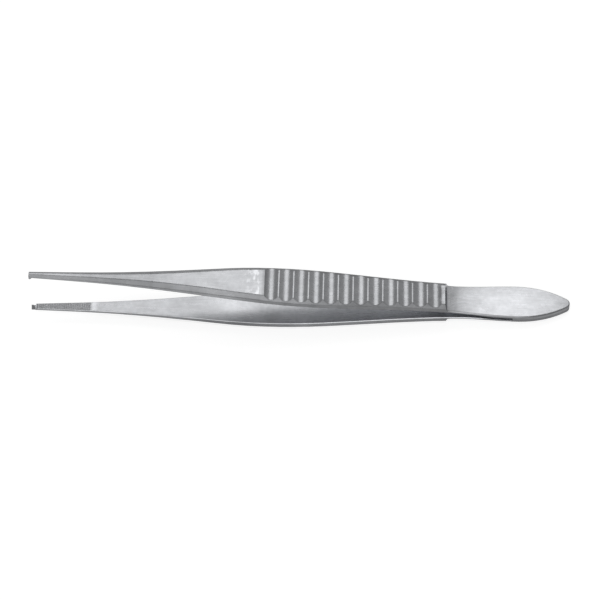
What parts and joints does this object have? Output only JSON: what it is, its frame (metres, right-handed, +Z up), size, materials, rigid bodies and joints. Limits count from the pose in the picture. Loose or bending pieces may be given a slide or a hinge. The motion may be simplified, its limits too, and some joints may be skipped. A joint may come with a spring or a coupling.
{
  "type": "thumb forceps",
  "caption": "Slender steel thumb forceps: two springy arms welded at the heel, cross-fluted grips, and serrated jaws with two teeth over one.",
  "frame": {"origin": "on the table, under the middle of the whole, which rests on the grip of its lower arm", "axes": "+X along the forceps from the tips towards the heel, +Y across the arms' width, +Z up from the table, which is the way that the arms open"},
  "size_m": [0.1502, 0.0125, 0.0179],
  "materials": {
    "steel": "satin"
  },
  "bodies": {
    "root": {"upper_arm": "steel", "lower_arm": "steel"}
  },
  "joints": []
}
